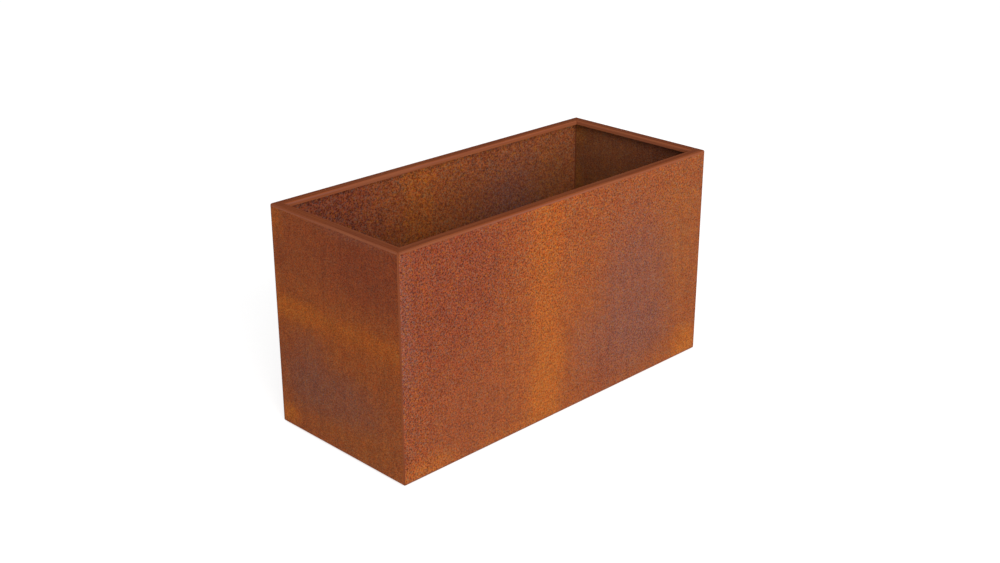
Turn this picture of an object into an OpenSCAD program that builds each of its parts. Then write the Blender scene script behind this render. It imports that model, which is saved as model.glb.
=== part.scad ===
// Rectangular planter box in weathering-steel sheet, on four levelling feet.
// +X runs along the length and +Z is up. The front wall is on the -Y side.
// The origin is on the ground, under the middle of the box.

/* [Box] */
// Outside length, from end to end
box_l = 1400; // [1000:10:1800]
// Outside width, from front to back
box_w = 600; // [450:10:900]
// Height of the walls, from their bottom edge to the top of the rim
wall_h = 750; // [600:10:1000]
// Thickness of the sheet
sheet = 3; // [2:0.5:3.5]
// Outside radius of every fold and corner
fold_r = 6; // [5:0.5:8]

/* [Rim] */
// Width of the rim, from the outside face
rim_w = 35; // [28:1:60]
// Depth of the lip, from the top of the rim
lip_h = 15; // [10:1:30]
// Width of the return flange along the bottom edge
base_w = 25; // [15:1:30]
// Width of the weld along each mitre
mitre_gap = 1.6; // [1:0.1:3]

/* [Floor] */
// Height of the floor's underside above the bottom edge of the walls
floor_up = 77; // [70:1:120]
// Gap between the floor and the walls
floor_gap = 11; // [10:0.5:14]
// Width of both legs of the floor ledges
ledge_w = 30; // [20:1:40]
// Width of the cross-members
channel_w = 50; // [30:1:70]
// Depth of the cross-members
channel_h = 32; // [20:1:35]
// Diameter of the drain holes
drain_d = 22; // [12:1:40]
// Diameter of the access hole over each foot
access_d = 32; // [26:1:40]

/* [Ties] */
// Height of the tie bars above the bottom edge of the walls
tie_up = 395; // [200:5:450]
// Distance of each tie bar from the middle of the box
tie_x = 230; // [100:5:300]
// Height of the tie bars
tie_h = 40; // [30:1:50]
// Thickness of the tie bars
tie_t = 5; // [4:0.5:8]
// Thickness of the tie clips
clip_t = 4; // [3:0.5:5]

/* [Feet] */
// Gap between the ground and the walls with the feet as stored
lift = 5; // [5:1:20]
// Distance of each foot from both outside faces
foot_in = 60; // [56:1:70]
// Height of the foot brackets' underside above the bottom edge of the walls
bracket_up = 26; // [24:1:30]
// Thickness of the foot brackets
bracket_t = 6; // [4:1:8]
// Length of the foot brackets along each wall
bracket_l = 125; // [115:1:150]
// Diameter of the foot pads
pad_d = 50; // [40:1:56]

/* [Hidden] */

$fn = 48;
eps = 0.5;

half_l = box_l / 2;
half_w = box_w / 2;
mitre_step = mitre_gap / sqrt(2);
wall_top = lift + wall_h;

floor_z = lift + floor_up;
floor_top = floor_z + sheet;
floor_edge = sheet + floor_gap;
bead_r = 4;
bead_l = 40;
plug_head_d = access_d + 6;
plug_head_h = 2.5;
plug_depth = 5;
plug_play = 0.1;

// Cross-members and drain holes are set out from the middle of the box
channel_pitch = box_l / 4;
drain_x = [-1.5, -0.5, 0.5, 1.5] * channel_pitch;
drain_y = box_w / 4;

// M10 fasteners of the ties
m10_r = 4.95;
m10_hole_r = 5.5;
m10_af = 17;
m10_head_h = 6.4;
m10_nut_h = 8;
m10_washer_r = 10;
m10_washer_t = 2;
m10_tail = 5;
tie_z = lift + tie_up;
clip_w = 40;
clip_h = 60;
clip_leg = 50;
tie_bolt_in = sheet + 35;
tie_end_in = sheet + 15;

// M12 levelling feet
m12_r = 5.95;
m12_bore_r = 6;
m12_hole_r = 6.5;
m12_af = 19;
m12_nut_h = 10;
m12_lock_h = 6;
bracket_z = lift + bracket_up;
bracket_snip = 12;
nut_z = bracket_z + bracket_t;
sole_t = 2.5;
pad_rim_h = 3;
pad_boss_r = 11;
pad_top = 14;
ball_z = 9;
ball_r = 6;
ball_play = 0.08;
neck_r = 4;
neck_play = 0.8;
thread_z = 18;
stem_top = 70;
socket_af = 6;
socket_depth = 8;

function hex_r(af) = af / (2 * cos(30));

// ---- Placing ----

// Children are drawn with X and Y measured inwards from the outside faces at the front left corner
module at_corner(right, back) {
    translate([right ? half_l : -half_l, back ? half_w : -half_w, 0])
        mirror([right ? 1 : 0, 0, 0])
            mirror([0, back ? 1 : 0, 0])
                children();
}

module at_each_corner() {
    for (right = [false, true])
        for (back = [false, true])
            at_corner(right, back)
                children();
}

// Children are drawn on the front or left side, and may be mirrored to the other one
module on_side(far, axis) {
    mirror(far ? axis : [0, 0, 0])
        children();
}

module hexagon(af, h) {
    cylinder(r = hex_r(af), h = h, $fn = 6);
}

// ---- Folded sections, drawn with X inwards from the outside face and Y up ----

module rounded_rect(x0, y0, x1, y1, r) {
    translate([x0 + r, y0])
        square([x1 - x0 - 2 * r, y1 - y0]);
    translate([x0, y0 + r])
        square([x1 - x0, y1 - y0 - 2 * r]);
    for (x = [x0 + r, x1 - r])
        for (y = [y0 + r, y1 - r])
            translate([x, y])
                circle(r);
}

// Wall with the rim and lip folded over its top and the return flange under it
module wall_section() {
    difference() {
        rounded_rect(0, 0, rim_w, wall_h, fold_r);
        rounded_rect(sheet, sheet, rim_w - sheet, wall_h - sheet, fold_r - sheet);
        translate([fold_r, sheet])
            square([rim_w, wall_h - lip_h - sheet]);
        translate([base_w, -eps])
            square([rim_w, sheet + 2 * eps]);
    }
}

// Angle with its outside corner at the origin and its legs along +X and +Y
module angle_section(leg_x, leg_y, t) {
    difference() {
        rounded_rect(0, 0, 3 * leg_x, 3 * leg_y, 2 * t);
        rounded_rect(t, t, 4 * leg_x, 4 * leg_y, t);
        translate([leg_x, -eps])
            square([3 * leg_x, 4 * leg_y]);
        translate([-eps, leg_y])
            square([4 * leg_x, 3 * leg_y]);
    }
}

// ---- Shell ----

// Wall along +X, with its outside face at Y = 0, cut at both ends for the corner and the mitres
module wall(len) {
    end = len / 2 - fold_r;
    mitre_end = len / 2 - rim_w - mitre_step;
    intersection() {
        translate([-len / 2, 0, lift])
            rotate([90, 0, 90])
                linear_extrude(len)
                    wall_section();
        linear_extrude(wall_top + eps)
            polygon([
                [-end, -eps], [end, -eps], [end, fold_r], [end - mitre_step, fold_r],
                [mitre_end, rim_w], [mitre_end, rim_w + eps], [-mitre_end, rim_w + eps],
                [-mitre_end, rim_w], [-end + mitre_step, fold_r], [-end, fold_r]
            ]);
    }
}

module long_wall(back) {
    color("sienna")
        on_side(back, [0, 1, 0])
            translate([0, -half_w, 0])
                wall(box_l);
}

module end_wall(right) {
    color("sienna")
        on_side(right, [1, 0, 0])
            translate([-half_l, 0, 0])
                rotate(-90)
                    wall(box_w);
}

// Rounded weld up a vertical corner, carried over the end of both folds
module corner_weld(right, back) {
    color("peru")
        at_corner(right, back)
            translate([fold_r, fold_r, lift])
                rotate(180)
                    rotate_extrude(angle = 90)
                        intersection() {
                            translate([fold_r, 0])
                                mirror([1, 0])
                                    wall_section();
                            square([fold_r, wall_h]);
                        }
}

// Half of a mitre weld: it fills one wall's rim section up to the mitre
module half_rim_weld() {
    intersection() {
        translate([0, 0, lift])
            rotate([90, 0, 90])
                linear_extrude(2 * rim_w)
                    wall_section();
        translate([0, 0, wall_top - lip_h - eps])
            linear_extrude(lip_h + 2 * eps)
                polygon([
                    [fold_r, fold_r], [rim_w, rim_w],
                    [rim_w + mitre_step, rim_w], [fold_r + mitre_step, fold_r]
                ]);
    }
}

module rim_weld(right, back) {
    color("peru")
        at_corner(right, back) {
            half_rim_weld();
            mirror([1, -1, 0])
                half_rim_weld();
        }
}

// ---- Floor ----

module floor_plate() {
    color("saddlebrown")
        difference() {
            translate([-half_l + floor_edge, -half_w + floor_edge, floor_z])
                cube([box_l - 2 * floor_edge, box_w - 2 * floor_edge, sheet]);
            for (x = drain_x)
                for (y = [-drain_y, drain_y])
                    translate([x, y, floor_z - eps])
                        cylinder(d = drain_d, h = sheet + 2 * eps);
            at_each_corner()
                translate([foot_in, foot_in, floor_z - eps])
                    cylinder(d = access_d, h = sheet + 2 * eps);
        }
}

// Folded angle with one leg against a wall and the other under the floor
module ledge(len) {
    translate([-len / 2, 0, floor_z])
        rotate([90, 0, 90])
            linear_extrude(len)
                mirror([0, 1])
                    angle_section(ledge_w, ledge_w, sheet);
}

module long_ledge(back) {
    color("saddlebrown")
        on_side(back, [0, 1, 0])
            translate([0, -half_w + sheet, 0])
                ledge(box_l - 2 * fold_r - 8);
}

module end_ledge(right) {
    color("saddlebrown")
        on_side(right, [1, 0, 0])
            translate([-half_l + sheet, 0, 0])
                rotate(-90)
                    ledge(box_w - 2 * (sheet + ledge_w) - 4);
}

// Channel across the box, open below, notched at both ends to fit under the ledges
module cross_member(x) {
    notch = sheet + ledge_w + 0.5;
    len = box_w - 6 * sheet - 1;
    color("saddlebrown")
        difference() {
            translate([x - channel_w / 2, len / 2, floor_z - channel_h])
                rotate([90, 0, 0])
                    linear_extrude(len)
                        difference() {
                            rounded_rect(0, -channel_h, channel_w, channel_h, 2 * sheet);
                            rounded_rect(
                                sheet, -channel_h - sheet, channel_w - sheet, channel_h - sheet, sheet
                            );
                            translate([-eps, -2 * channel_h])
                                square([channel_w + 2 * eps, 2 * channel_h]);
                        }
            for (far = [false, true])
                on_side(far, [0, 1, 0])
                    translate([x - channel_w, -half_w, floor_z - sheet])
                        cube([2 * channel_w, notch, 2 * sheet]);
        }
}

// Quarter-round bead along +X, against the floor's edge and on top of the ledge
module bead() {
    translate([-bead_l / 2, 0, 0])
        rotate([90, 0, 90])
            intersection() {
                cylinder(r = bead_r, h = bead_l);
                translate([-bead_r, 0, 0])
                    cube([bead_r, bead_r, bead_l]);
            }
}

module floor_welds() {
    color("peru") {
        for (far = [false, true])
            on_side(far, [0, 1, 0])
                for (i = [-2:2])
                    translate([i * box_l / 5.6, -half_w + floor_edge, floor_z])
                        bead();
        for (far = [false, true])
            on_side(far, [1, 0, 0])
                for (i = [-1:1])
                    translate([-half_l + floor_edge, i * box_w / 4, floor_z])
                        rotate(-90)
                            bead();
    }
}

module access_plugs() {
    color("dimgray")
        at_each_corner()
            translate([foot_in, foot_in, floor_top]) {
                cylinder(d = plug_head_d, h = plug_head_h);
                translate([0, 0, -plug_depth])
                    cylinder(d = access_d - 2 * plug_play, h = plug_depth);
            }
}

// ---- Ties ----

// Children are drawn at each bolt: the clip's inside face is at X = 0, the tie bar is on its -X side
module at_each_tie_bolt() {
    for (x = [-tie_x, tie_x])
        for (far = [false, true])
            on_side(far, [0, 1, 0])
                translate([x, -half_w + tie_bolt_in, tie_z])
                    children();
}

module along_x() {
    rotate([0, 90, 0])
        children();
}

module tie_clips() {
    color("saddlebrown")
        at_each_tie_bolt()
            difference() {
                translate([0, sheet - tie_bolt_in, -clip_h / 2])
                    linear_extrude(clip_h)
                        angle_section(clip_w, clip_leg, clip_t);
                translate([-eps, 0, 0])
                    along_x()
                        cylinder(r = m10_hole_r, h = clip_t + 2 * eps);
            }
}

module tie_bar(x) {
    color("saddlebrown")
        difference() {
            translate([x - tie_t, -half_w + tie_end_in, tie_z - tie_h / 2])
                cube([tie_t, box_w - 2 * tie_end_in, tie_h]);
            for (far = [false, true])
                on_side(far, [0, 1, 0])
                    translate([x - tie_t - eps, -half_w + tie_bolt_in, tie_z])
                        along_x()
                            cylinder(r = m10_hole_r, h = tie_t + 2 * eps);
        }
}

module tie_washers() {
    color("silver")
        at_each_tie_bolt()
            for (x = [-tie_t - m10_washer_t, clip_t])
                translate([x, 0, 0])
                    along_x()
                        difference() {
                            cylinder(r = m10_washer_r, h = m10_washer_t);
                            translate([0, 0, -eps])
                                cylinder(r = m10_hole_r, h = m10_washer_t + 2 * eps);
                        }
}

module tie_bolts() {
    under_head = -tie_t - m10_washer_t;
    color("silver")
        at_each_tie_bolt()
            translate([under_head, 0, 0])
                along_x() {
                    translate([0, 0, -m10_head_h])
                        hexagon(m10_af, m10_head_h);
                    cylinder(r = m10_r, h = tie_t + clip_t + 2 * m10_washer_t + m10_nut_h + m10_tail);
                }
}

module tie_nuts() {
    color("silver")
        at_each_tie_bolt()
            translate([clip_t + m10_washer_t, 0, 0])
                along_x()
                    difference() {
                        hexagon(m10_af, m10_nut_h);
                        translate([0, 0, -eps])
                            cylinder(r = m10_r + 0.05, h = m10_nut_h + 2 * eps);
                    }
}

// ---- Feet ----

// Corner plate with its inner corner snipped and its free corner cut off
module foot_bracket(right, back) {
    color("saddlebrown")
        at_corner(right, back)
            translate([0, 0, bracket_z])
                difference() {
                    linear_extrude(bracket_t)
                        polygon([
                            [sheet + bracket_snip, sheet], [bracket_l, sheet], [bracket_l, bracket_l / 2],
                            [bracket_l / 2, bracket_l], [sheet, bracket_l], [sheet, sheet + bracket_snip]
                        ]);
                    translate([foot_in, foot_in, -eps])
                        cylinder(r = m12_hole_r, h = bracket_t + 2 * eps);
                }
}

module m12_nut(h) {
    difference() {
        hexagon(m12_af, h);
        translate([0, 0, -eps])
            cylinder(r = m12_bore_r, h = h + 2 * eps);
    }
}

module foot_nuts() {
    color("silver")
        at_each_corner()
            translate([foot_in, foot_in, nut_z])
                m12_nut(m12_nut_h);
}

module lock_nuts() {
    color("silver")
        at_each_corner()
            translate([foot_in, foot_in, nut_z + m12_nut_h])
                rotate(15)
                    m12_nut(m12_lock_h);
}

// Stem with a ball at its foot and a hexagon socket in its top
module foot_stem(right, back) {
    color("silver")
        at_corner(right, back)
            translate([foot_in, foot_in, 0])
                difference() {
                    union() {
                        translate([0, 0, ball_z])
                            sphere(r = ball_r);
                        translate([0, 0, ball_z])
                            cylinder(r = neck_r, h = thread_z - ball_z + eps);
                        translate([0, 0, thread_z])
                            cylinder(r = m12_r, h = stem_top - thread_z);
                    }
                    translate([0, 0, stem_top - socket_depth])
                        hexagon(socket_af, socket_depth + eps);
                }
}

// Domed pad with a socket that holds the stem's ball
module foot_pad(right, back) {
    color("dimgray")
        at_corner(right, back)
            translate([foot_in, foot_in, 0])
                difference() {
                    rotate_extrude()
                        polygon([
                            [0, sole_t], [pad_d / 2, sole_t], [pad_d / 2, sole_t + pad_rim_h],
                            [pad_boss_r, ball_z], [pad_boss_r - 1, pad_top], [0, pad_top]
                        ]);
                    translate([0, 0, ball_z])
                        sphere(r = ball_r + ball_play);
                    translate([0, 0, ball_z])
                        cylinder(r = neck_r + neck_play, h = pad_top);
                }
}

module foot_sole(right, back) {
    color("#222222")
        at_corner(right, back)
            translate([foot_in, foot_in, 0])
                cylinder(d = pad_d, h = sole_t);
}

long_wall(false);  // front_panel
long_wall(true);  // back_panel
end_wall(false);  // left_end_panel
end_wall(true);  // right_end_panel
corner_weld(false, false);  // corner_weld_front_left
corner_weld(true, false);  // corner_weld_front_right
corner_weld(false, true);  // corner_weld_back_left
corner_weld(true, true);  // corner_weld_back_right
rim_weld(false, false);  // rim_weld_front_left
rim_weld(true, false);  // rim_weld_front_right
rim_weld(false, true);  // rim_weld_back_left
rim_weld(true, true);  // rim_weld_back_right
floor_plate();
long_ledge(false);  // front_ledge
long_ledge(true);  // back_ledge
end_ledge(false);  // left_ledge
end_ledge(true);  // right_ledge
cross_member(-channel_pitch);  // cross_member_left
cross_member(0);  // cross_member_middle
cross_member(channel_pitch);  // cross_member_right
floor_welds();
access_plugs();
tie_bar(-tie_x);  // tie_bar_left
tie_bar(tie_x);  // tie_bar_right
tie_clips();
tie_bolts();
tie_washers();
tie_nuts();
foot_bracket(false, false);  // foot_bracket_front_left
foot_bracket(true, false);  // foot_bracket_front_right
foot_bracket(false, true);  // foot_bracket_back_left
foot_bracket(true, true);  // foot_bracket_back_right
foot_nuts();
lock_nuts();
foot_stem(false, false);  // foot_stem_front_left
foot_stem(true, false);  // foot_stem_front_right
foot_stem(false, true);  // foot_stem_back_left
foot_stem(true, true);  // foot_stem_back_right
foot_pad(false, false);  // foot_pad_front_left
foot_pad(true, false);  // foot_pad_front_right
foot_pad(false, true);  // foot_pad_back_left
foot_pad(true, true);  // foot_pad_back_right
foot_sole(false, false);  // foot_sole_front_left
foot_sole(true, false);  // foot_sole_front_right
foot_sole(false, true);  // foot_sole_back_left
foot_sole(true, true);  // foot_sole_back_right
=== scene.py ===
"""Rusted weathering-steel planter box: its looks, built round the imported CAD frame.

Metres, +Z up, front wall on the -Y side, origin on the ground under the middle of the box.
"""
import math

import bpy
from mathutils import Matrix, Vector


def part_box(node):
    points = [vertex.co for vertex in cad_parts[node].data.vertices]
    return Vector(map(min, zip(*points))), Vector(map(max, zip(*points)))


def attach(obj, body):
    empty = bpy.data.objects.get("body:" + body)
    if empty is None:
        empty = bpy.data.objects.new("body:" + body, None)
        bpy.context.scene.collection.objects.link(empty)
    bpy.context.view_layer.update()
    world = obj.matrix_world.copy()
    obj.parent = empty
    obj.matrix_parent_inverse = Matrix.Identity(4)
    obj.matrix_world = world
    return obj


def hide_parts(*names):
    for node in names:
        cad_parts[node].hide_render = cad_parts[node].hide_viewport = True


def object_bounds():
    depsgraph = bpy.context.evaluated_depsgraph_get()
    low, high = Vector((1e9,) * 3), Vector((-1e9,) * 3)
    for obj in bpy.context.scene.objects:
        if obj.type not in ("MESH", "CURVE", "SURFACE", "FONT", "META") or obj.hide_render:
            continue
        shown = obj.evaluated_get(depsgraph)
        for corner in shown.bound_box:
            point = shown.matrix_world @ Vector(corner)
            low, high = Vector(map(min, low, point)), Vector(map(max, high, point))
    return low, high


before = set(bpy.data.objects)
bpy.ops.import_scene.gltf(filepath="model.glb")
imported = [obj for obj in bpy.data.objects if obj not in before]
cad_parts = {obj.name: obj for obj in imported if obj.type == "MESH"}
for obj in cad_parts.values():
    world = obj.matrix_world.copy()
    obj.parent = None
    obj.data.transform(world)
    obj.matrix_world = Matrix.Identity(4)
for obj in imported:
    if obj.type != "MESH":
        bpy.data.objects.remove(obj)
cad_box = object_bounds()
MM = 0.001

# ---- Sizes read from the frame ----

LOW, HIGH = cad_box
BASE_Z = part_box("front_panel")[0].z
TOP_Z = HIGH.z
LENGTH = HIGH.x - LOW.x
WIDTH = HIGH.y - LOW.y
HEIGHT = TOP_Z - BASE_Z
FOLD = HIGH.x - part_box("front_panel")[1].x
RIM_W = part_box("front_panel")[1].y - LOW.y
SHEET = FOLD / 2
FLOOR_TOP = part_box("floor_plate")[1].z
FLOOR_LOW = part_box("floor_plate")[0].z
CORNERS = {
    "front_left": (-1, -1),
    "front_right": (1, -1),
    "back_left": (-1, 1),
    "back_right": (1, 1),
}
SIDES = (-1, 1)


def foot_centre(corner):
    low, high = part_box("foot_sole_" + corner)
    return (low + high) / 2


# ---- Shader helpers ----


def srgb(r, g, b):
    """Linear colour of a display colour given as 0 to 255."""
    out = []
    for c in (r, g, b):
        c /= 255
        out.append(c / 12.92 if c <= 0.04045 else ((c + 0.055) / 1.055) ** 2.4)
    return (*out, 1)


class Shader:
    """A node material and short calls that add nodes to it. Each call returns the new node's output."""

    def __init__(self, name):
        self.material = bpy.data.materials.new(name)
        self.material.use_nodes = True
        self.tree = self.material.node_tree
        self.bsdf = self.tree.nodes["Principled BSDF"]
        self.place = self.node("ShaderNodeTexCoord").outputs["Object"]

    def node(self, kind, **settings):
        node = self.tree.nodes.new(kind)
        for key, value in settings.items():
            setattr(node, key, value)
        return node

    def feed(self, socket, value):
        if isinstance(value, bpy.types.NodeSocket):
            self.tree.links.new(value, socket)
        elif value is not None:
            socket.default_value = value

    def math(self, operation, a, b=None, c=None):
        node = self.node("ShaderNodeMath", operation=operation)
        for socket, value in zip(node.inputs, (a, b, c)):
            self.feed(socket, value)
        return node.outputs[0]

    def vector(self, operation, a, b=None, c=None):
        node = self.node("ShaderNodeVectorMath", operation=operation)
        for socket, value in zip(node.inputs, (a, b, c)):
            self.feed(socket, value)
        return node.outputs["Value"] if operation == "LENGTH" else node.outputs["Vector"]

    def split(self, vector):
        node = self.node("ShaderNodeSeparateXYZ")
        self.feed(node.inputs[0], vector)
        return node.outputs

    def join(self, x=0.0, y=0.0, z=0.0):
        node = self.node("ShaderNodeCombineXYZ")
        for socket, value in zip(node.inputs, (x, y, z)):
            self.feed(socket, value)
        return node.outputs[0]

    def smooth(self, value, start, end, low=0.0, high=1.0):
        """Goes smoothly from low at start to high at end."""
        node = self.node("ShaderNodeMapRange", interpolation_type="SMOOTHSTEP")
        for socket, given in zip(node.inputs, (value, start, end, low, high)):
            self.feed(socket, given)
        return node.outputs["Result"]

    def noise(self, vector, per_metre, detail=2.0, roughness=0.5, seed=0.0, output="Fac"):
        """Noise from 0 to 1, or three such noises as a "Color". per_metre is how many cells fit in a
        metre of the vector."""
        if seed:
            vector = self.vector("ADD", vector, (seed, seed * 0.7, -seed))
        node = self.node("ShaderNodeTexNoise")
        self.feed(node.inputs["Vector"], vector)
        node.inputs["Scale"].default_value = per_metre
        node.inputs["Detail"].default_value = detail
        node.inputs["Roughness"].default_value = roughness
        return node.outputs[output]

    def cells(self, vector, per_metre, output="Distance"):
        """Irregular cells: the distance from the nearest cell's middle, or a random colour for each."""
        node = self.node("ShaderNodeTexVoronoi")
        self.feed(node.inputs["Vector"], vector)
        node.inputs["Scale"].default_value = per_metre
        return node.outputs[output]

    def mix(self, factor, a, b, blend="MIX"):
        node = self.node("ShaderNodeMix", data_type="RGBA", blend_type=blend)
        self.feed(node.inputs["Factor"], factor)
        sockets = [s for s in node.inputs if s.type == "RGBA"]
        self.feed(sockets[0], a)
        self.feed(sockets[1], b)
        return [s for s in node.outputs if s.type == "RGBA"][0]

    def ramp(self, value, *stops):
        """Colour ramp through (position, colour) stops."""
        node = self.node("ShaderNodeValToRGB")
        self.feed(node.inputs[0], value)
        elements = node.color_ramp.elements
        while len(elements) < len(stops):
            elements.new(0.5)
        for element, (position, colour) in zip(elements, stops):
            element.position = position
            element.color = colour
        return node.outputs["Color"]

    def bump(self, height, distance, strength=1.0):
        node = self.node("ShaderNodeBump")
        node.inputs["Distance"].default_value = distance
        node.inputs["Strength"].default_value = strength
        self.feed(node.inputs["Height"], height)
        self.feed(self.bsdf.inputs["Normal"], node.outputs["Normal"])

    def finish(self, colour, roughness, specular=0.5, metallic=0.0):
        self.feed(self.bsdf.inputs["Base Color"], colour)
        self.feed(self.bsdf.inputs["Roughness"], roughness)
        self.feed(self.bsdf.inputs["Metallic"], metallic)
        self.bsdf.inputs["Specular IOR Level"].default_value = specular
        return self.material


def grey(value):
    return (value, value, value, 1)


# ---- Weathered steel ----

# Albedo of a rust over its colour as displayed, on the front wall in the studio's light
LIT = 0.53


def steel(r, g, b):
    """Albedo of a rust that is displayed as this colour, given as 0 to 255."""
    return (*(LIT * c for c in srgb(r, g, b)[:3]), 1)


RUST = steel(151, 80, 49)
RUST_FAR = steel(160, 88, 52)
DARK_RED = steel(138, 70, 47)
OCHRE = steel(173, 93, 44)
ORANGE = steel(186, 104, 46)
PURPLE_GREY = steel(140, 85, 68)
WARM_BROWN = steel(162, 93, 52)
RED_BROWN = steel(140, 76, 55)
MAUVE = steel(150, 92, 76)

# The long walls and the end walls have weathered a little differently. The inner faces' tones make them
# lighter and less red than the outer faces: painted light, offsetting the red bounce light inside the box.
LONG_TONE = (1.035, 1.115, 1.105)
END_TONE = (1.055, 1.055, 0.92)
INNER_LONG_TONE = (1.045, 1.09, 1.185)
INNER_END_TONE = (1.03, 1.40, 1.66)

# Broad patches of the sheet: colour, centre and reach along and down the sheet (0 to 1), strength
PATCHES = (
    (DARK_RED, (0.08, 0.15), (0.34, 0.62), 0.8),
    (WARM_BROWN, (0.90, 0.35), (0.11, 0.45), 0.5),
    (PURPLE_GREY, (0.75, 0.55), (0.17, 0.52), 0.75),
    (PURPLE_GREY, (0.74, 0.76), (0.20, 0.22), 0.7),
    (RED_BROWN, (0.60, 0.90), (0.13, 0.18), 0.5),
    (PURPLE_GREY, (0.0, 0.35), (0.05, 0.45), 0.5),
    (OCHRE, (0.45, 0.5), (0.20, 3.5), 0.4),
    (OCHRE, (0.437, 0.5), (0.068, 3.5), 0.9),
    (ORANGE, (0.435, 0.9), (0.07, 0.4), 0.45),
    (PURPLE_GREY, (0.57, 0.72), (0.08, 0.2), 0.4),
    (ORANGE, (0.95, 0.95), (0.07, 0.13), 0.8),
    (ORANGE, (0.06, 1.0), (0.13, 0.12), 0.5),
    (ORANGE, (0.30, 1.02), (0.12, 0.10), 0.4),
)

# Scale and shift of the sheet's coordinates that move the patches, for the long walls and the ends
PATCH_MOVES = {True: ((-0.9, 1, 0), (1.25, 0, 0)), False: ((0.9, -1, 0), (-0.12, 1, 0))}

# Patterns of the sheet's rust, in cells per metre
MOTTLE_PER_M = 24.0
DRIFT_PER_M = 26.0
TINT_PER_M = 120.0
GRAIN_PER_M = 174.0
CRYSTAL_PER_M = 320.0
RAGGED_PER_M = 520.0
PIT_PER_M = 900.0

# How much each grain lightens, darkens or tints the sheet, and how strongly on the end walls
GRAIN_DARK = (0.40, 0.31, 0.33, 1)
GRAIN_DULL = (0.79, 0.74, 0.77, 1)
GRAIN_LIGHT = (1.20, 1.245, 1.16, 1)
GRAIN_BRIGHT = (1.45, 1.57, 1.34, 1)
TINT_MAROON = (1.12, 0.62, 0.70, 1)
TINT_GOLD = (1.05, 1.16, 0.56, 1)
TINT_PURPLE = (0.75, 1.13, 1.86, 1)
END_GRAIN = 0.67
WHITE = grey(1)

# Smooth steel: (dark, middle, light) of the rim's top, of the other folded faces and of ground welds. The
# top's tones are darker than the folded faces' tones: painted shade of the upward faces.
TOP_STREAKS_SHADED = (steel(136, 64, 34), steel(150, 77, 42), steel(172, 93, 51))
FOLD_STREAKS = (steel(142, 75, 48), steel(153, 85, 54), steel(164, 94, 58))
WELD_STREAKS = (steel(121, 62, 38), steel(134, 71, 43), steel(146, 79, 49))


def streaks(shader, along, tones, seed=0.0):
    """Smooth rolled or ground steel, streaked along one axis. Returns its colour."""
    scale = [190.0] * 3
    scale[along] = 2.2
    drawn = shader.vector("MULTIPLY", shader.place, scale)
    broad = shader.noise(drawn, 1.0, detail=2.0, roughness=0.5, seed=seed)
    fine = shader.noise(drawn, 3.1, detail=2.0, roughness=0.6, seed=seed + 3)
    value = shader.math("MULTIPLY_ADD", fine, 0.35, shader.math("MULTIPLY", broad, 0.65))
    return shader.ramp(value, (0.36, tones[0]), (0.5, tones[1]), (0.66, tones[2]))


def sheet_coordinates(shader, long_wall):
    """(along, down, 0), each 0 to 1 over the sheet as it was before folding."""
    x, y, z = shader.split(shader.place)
    down = shader.math("MULTIPLY_ADD", z, -1 / HEIGHT, TOP_Z / HEIGHT)
    if long_wall:
        along = shader.math("MULTIPLY_ADD", x, 1 / LENGTH, 0.5)
        return shader.join(along, down)
    across = shader.math("MULTIPLY_ADD", y, 1 / WIDTH, 0.5)
    return shader.join(down, across)


def depth_inside(shader, long_wall):
    """Distance inwards from the outer face of the wall."""
    x, y, _ = shader.split(shader.place)
    across, half = (y, WIDTH / 2) if long_wall else (x, LENGTH / 2)
    return shader.math("SUBTRACT", half, shader.math("ABSOLUTE", across))


def fold_mask(shader, inward):
    """1 on the folded rim, lip and bends and 0 on the flat of the wall and of the flange at its foot."""
    wobble = shader.noise(shader.place, 60.0, detail=2.0)
    height = shader.math("MULTIPLY_ADD", wobble, 1.2 * MM, shader.split(shader.place)[2])
    top = shader.smooth(height, TOP_Z - FOLD - 2.5 * MM, TOP_Z - FOLD - 0.8 * MM)
    foot = shader.smooth(height, BASE_Z + FOLD + 2 * MM, BASE_Z + FOLD + 0.4 * MM)
    foot = shader.math("MULTIPLY", foot, shader.smooth(inward, FOLD + 2 * MM, FOLD))
    inside = shader.math("GREATER_THAN", inward, SHEET + 1 * MM)
    inside = shader.math("MULTIPLY", inside, shader.math("GREATER_THAN", height, HEIGHT / 2))
    return shader.math("MAXIMUM", shader.math("MAXIMUM", top, foot), inside)


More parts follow.
